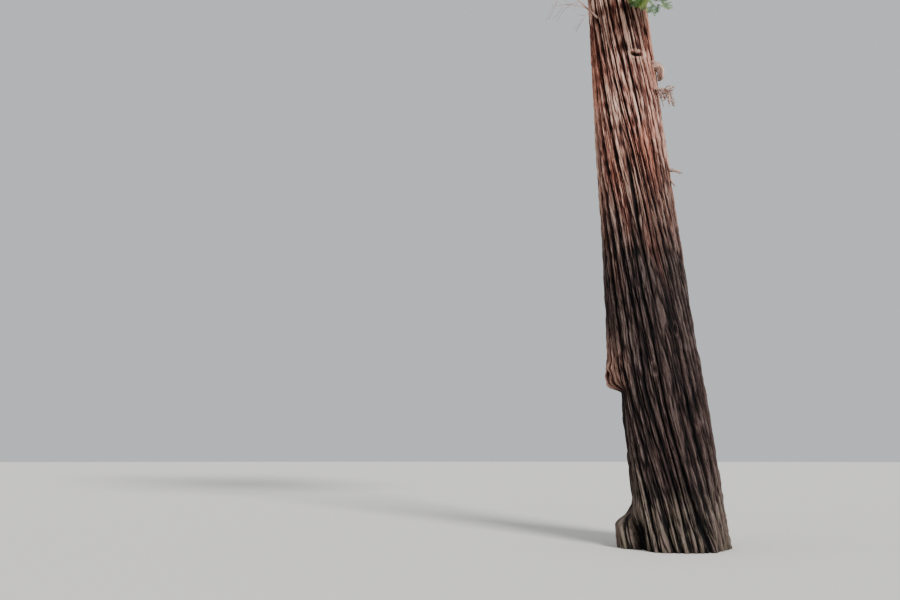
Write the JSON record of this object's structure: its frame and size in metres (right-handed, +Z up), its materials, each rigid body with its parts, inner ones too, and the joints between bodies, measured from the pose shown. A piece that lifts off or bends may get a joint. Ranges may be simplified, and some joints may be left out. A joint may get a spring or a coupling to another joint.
{
  "type": "redwood tree",
  "caption": "Tall coast redwood with a straight, furrowed trunk that tapers from spreading roots, a burl over a hollow low on one side, and a narrow crown of drooping boughs.",
  "frame": {"origin": "middle of the flat cut at ground level, under the trunk's axis", "axes": "+Z up along the trunk; +Y away from the side that the picture shows; -X the side that the trunk leans to, with the burl and the hollow"},
  "size_m": [7.1616, 7.8817, 39.9802],
  "materials": {
    "bark": "thick fibrous red-brown bark in long furrowed ridges",
    "limb_bark": "thin rough brown bark",
    "dead_wood": "bare weathered wood, pale grey",
    "foliage": "flat sprays of short green needles on thin brown twigs"
  },
  "bodies": {
    "root": {"bough_01": "limb_bark", "bough_02": "limb_bark", "bough_03": "limb_bark", "bough_04": "limb_bark", "bough_05": "limb_bark", "bough_06": "limb_bark", "bough_07": "limb_bark", "bough_08": "limb_bark", "bough_09": "limb_bark", "dead_branch": "dead_wood", "dead_snag": "dead_wood", "dead_twigs": "dead_wood", "foliage_01": "foliage", "foliage_02": "foliage", "foliage_03": "foliage", "foliage_04": "foliage", "foliage_05": "foliage", "foliage_06": "foliage", "foliage_07": "foliage", "foliage_08": "foliage", "foliage_09": "foliage", "foliage_10": "foliage", "foliage_11": "foliage", "foliage_12": "foliage", "foliage_13": "foliage", "foliage_14": "foliage", "foliage_15": "foliage", "foliage_16": "foliage", "foliage_17": "foliage", "foliage_18": "foliage", "foliage_19": "foliage", "foliage_20": "foliage", "foliage_21": "foliage", "foliage_22": "foliage", "foliage_23": "foliage", "foliage_24": "foliage", "foliage_25": "foliage", "foliage_26": "foliage", "foliage_27": "foliage", "foliage_28": "foliage", "foliage_29": "foliage", "foliage_30": "foliage", "foliage_31": "foliage", "foliage_32": "foliage", "foliage_33": "foliage", "foliage_34": "foliage", "foliage_35": "foliage", "foliage_36": "foliage", "foliage_37": "foliage", "foliage_38": "foliage", "foliage_39": "foliage", "foliage_40": "foliage", "foliage_41": "foliage", "foliage_42": "foliage", "foliage_43": "foliage", "foliage_44": "foliage", "leader": "foliage", "right_sprig": "foliage", "right_stub": "dead_wood", "trunk": "bark"}
  },
  "joints": []
}
